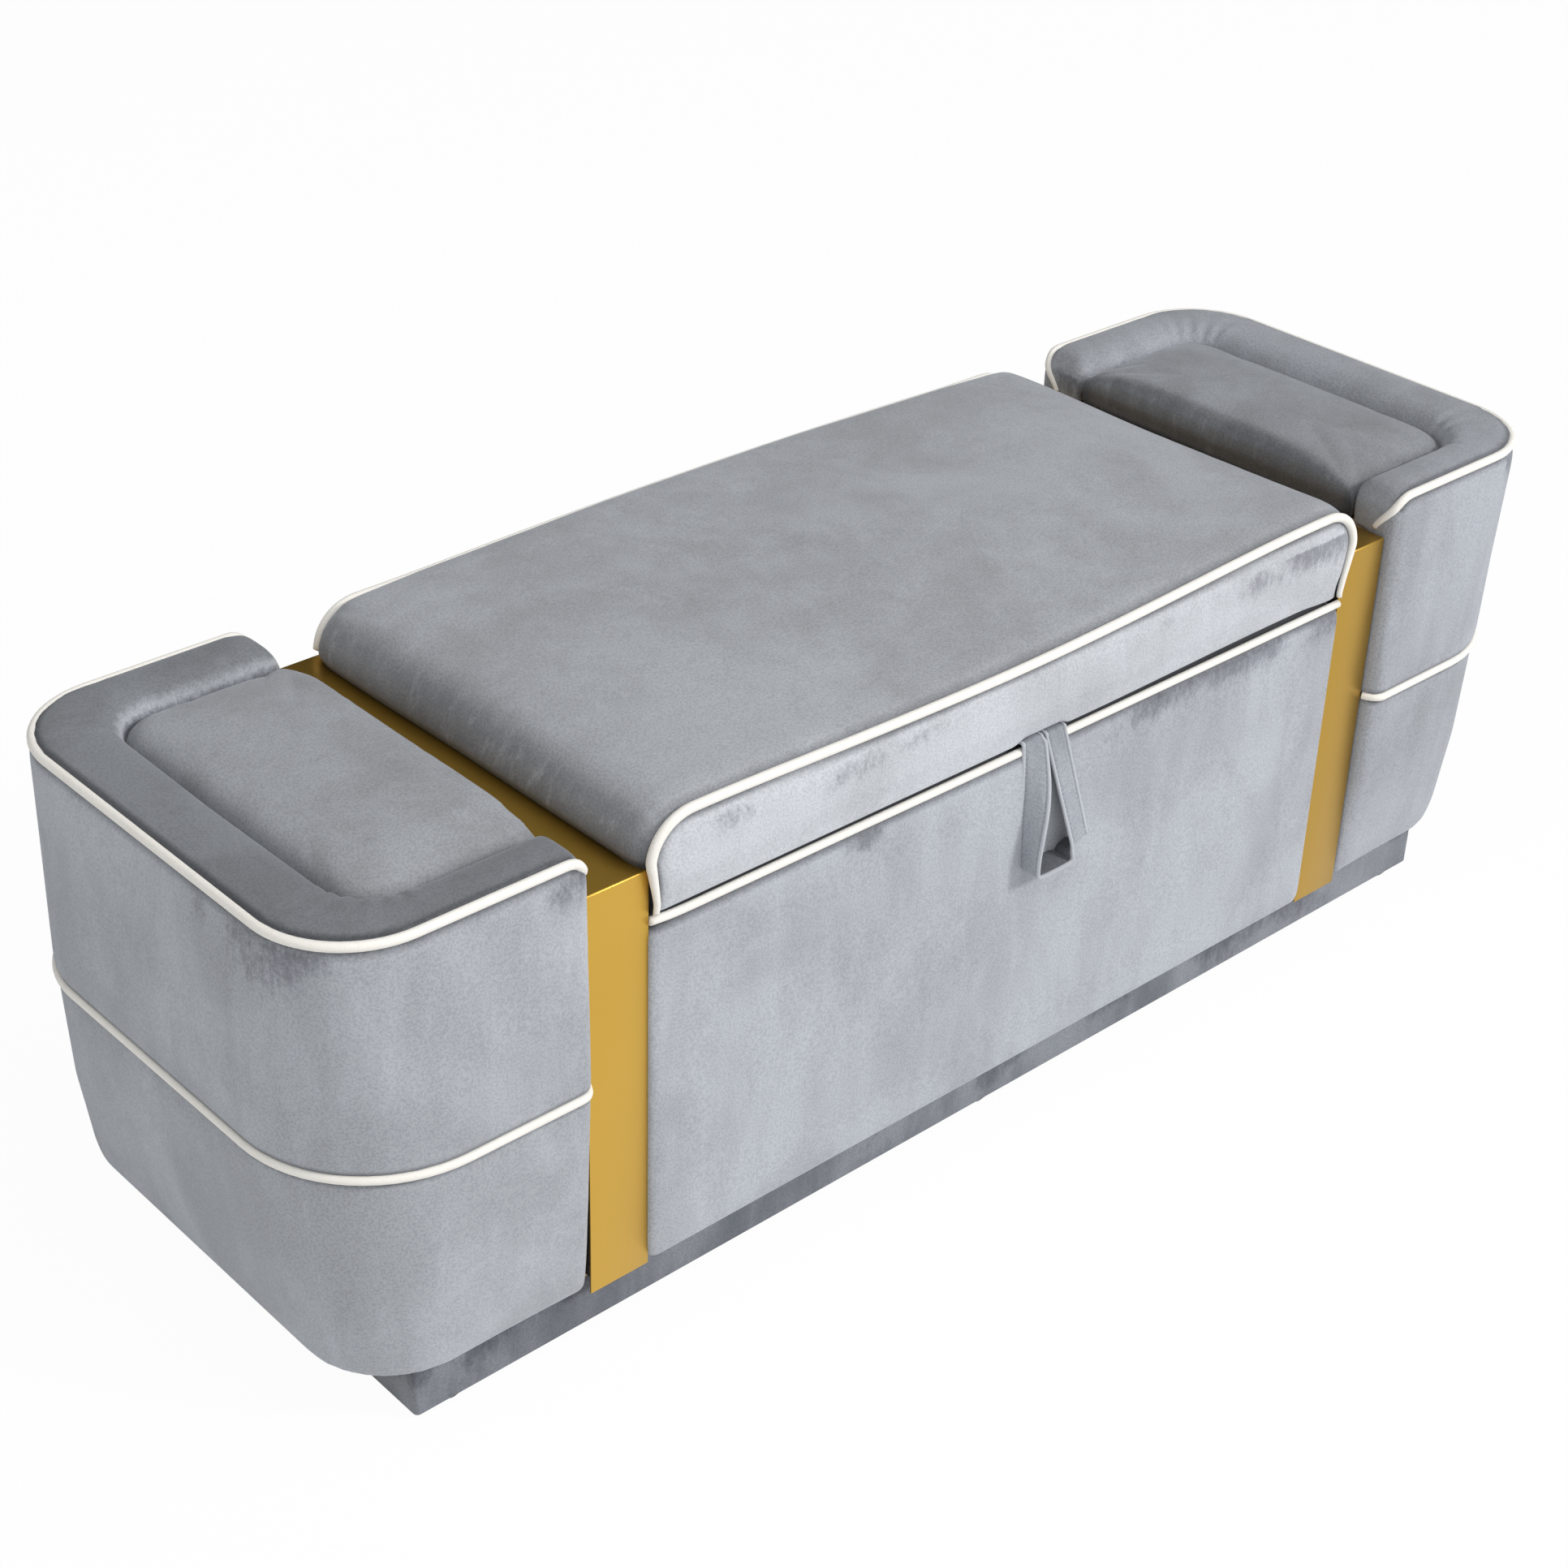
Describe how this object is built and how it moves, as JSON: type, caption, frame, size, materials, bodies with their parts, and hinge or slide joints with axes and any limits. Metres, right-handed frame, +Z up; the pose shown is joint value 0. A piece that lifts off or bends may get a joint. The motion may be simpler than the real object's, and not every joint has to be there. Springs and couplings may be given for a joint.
{
  "type": "storage ottoman bench",
  "caption": "Upholstered storage bench: hinged cushioned lid with a pull strap over a box, rounded padded arms, bent metal bands between, on a recessed plinth.",
  "frame": {"origin": "on the floor, under the middle of the bench", "axes": "+X along the bench to the right as seen from the front, -Y to the front, +Z up"},
  "size_m": [1.314, 0.4393, 0.4493],
  "materials": {
    "velvet": "short-pile blue-grey velvet over foam",
    "plinth_velvet": "the same velvet, in the shade under the bench",
    "strap_velvet": "doubled velvet ribbon with edge stitching",
    "piping": "ivory woven piping",
    "gold": "satin gold-coloured sheet",
    "timber": "plain plywood and pine, hidden",
    "lining": "black non-woven lining",
    "steel": "zinc-plated",
    "rubber": "matt",
    "glide": "moulded"
  },
  "bodies": {
    "bench": {"back_panel_pad": "velvet", "base_deck": "timber", "front_panel_pad": "velvet", "front_panel_piping": "piping", "glides": "glide", "hinge_box_leaves": "steel", "hinge_pins": "steel", "left_arm_back_board": "timber", "left_arm_corner_posts": "timber", "left_arm_end_board": "timber", "left_arm_front_board": "timber", "left_arm_lower_cover": "velvet", "left_arm_mid_piping": "piping", "left_arm_pad": "velvet", "left_arm_rim": "velvet", "left_arm_top_board": "timber", "left_arm_top_piping": "piping", "left_arm_upper_cover": "velvet", "left_band": "gold", "left_band_frame": "timber", "lid_bumpers": "rubber", "plinth_back_rail": "timber", "plinth_cover": "plinth_velvet", "plinth_cross_rails": "timber", "plinth_front_rail": "timber", "right_arm_back_board": "timber", "right_arm_corner_posts": "timber", "right_arm_end_board": "timber", "right_arm_front_board": "timber", "right_arm_lower_cover": "velvet", "right_arm_mid_piping": "piping", "right_arm_pad": "velvet", "right_arm_rim": "velvet", "right_arm_top_board": "timber", "right_arm_top_piping": "piping", "right_arm_upper_cover": "velvet", "right_band": "gold", "right_band_frame": "timber", "stay_wall_brackets": "steel", "storage_back_wall": "timber", "storage_floor": "lining", "storage_front_wall": "timber", "storage_left_wall": "timber", "storage_lining": "lining", "storage_right_wall": "timber"},
    "lid": {"lid_back_piping": "piping", "lid_board": "timber", "lid_cushion": "velvet", "lid_dust_cover": "lining", "lid_front_piping": "piping", "hinge_lid_leaves": "steel", "stay_lid_brackets": "steel", "strap_tabs": "strap_velvet", "strap_clamp": "steel"},
    "pull_strap": {"pull_strap": "strap_velvet"},
    "left_stay_lower": {"left_stay_lower_link": "steel"},
    "left_stay_upper": {"left_stay_upper_link": "steel"},
    "right_stay_lower": {"right_stay_lower_link": "steel"},
    "right_stay_upper": {"right_stay_upper_link": "steel"}
  },
  "joints": [
    {"name": "lid_hinge", "type": "hinge", "parent": "bench", "child": "lid", "pos_m": [0, 0.204, 0.3585], "axis": [-1, 0, 0], "range_deg": [0, 95]},
    {"name": "left_stay_wall_pivot", "type": "hinge", "parent": "bench", "child": "left_stay_lower", "pos_m": [-0.36, 0.07045, 0.3165], "axis": [-1, 0, 0], "range_deg": [0, 95]},
    {"name": "left_stay_knee", "type": "hinge", "parent": "left_stay_lower", "child": "left_stay_upper", "pos_m": [-0.357, -0.06919, 0.3065], "axis": [-1, 0, 0], "range_deg": [-95, 0]},
    {"name": "right_stay_wall_pivot", "type": "hinge", "parent": "bench", "child": "right_stay_lower", "pos_m": [0.36, 0.07045, 0.3165], "axis": [-1, 0, 0], "range_deg": [0, 95]},
    {"name": "right_stay_knee", "type": "hinge", "parent": "right_stay_lower", "child": "right_stay_upper", "pos_m": [0.357, -0.06919, 0.3065], "axis": [-1, 0, 0], "range_deg": [-95, 0]},
    {"name": "strap_swing", "type": "hinge", "parent": "lid", "child": "pull_strap", "pos_m": [0.01, -0.2025, 0.3628], "axis": [-1, 0, 0], "range_deg": [0, 100]}
  ],
  "couplings": [
    {"joint": "left_stay_wall_pivot", "follows": "lid_hinge", "ratio": 1},
    {"joint": "left_stay_knee", "follows": "lid_hinge", "ratio": -1},
    {"joint": "right_stay_wall_pivot", "follows": "lid_hinge", "ratio": 1},
    {"joint": "right_stay_knee", "follows": "lid_hinge", "ratio": -1}
  ]
}
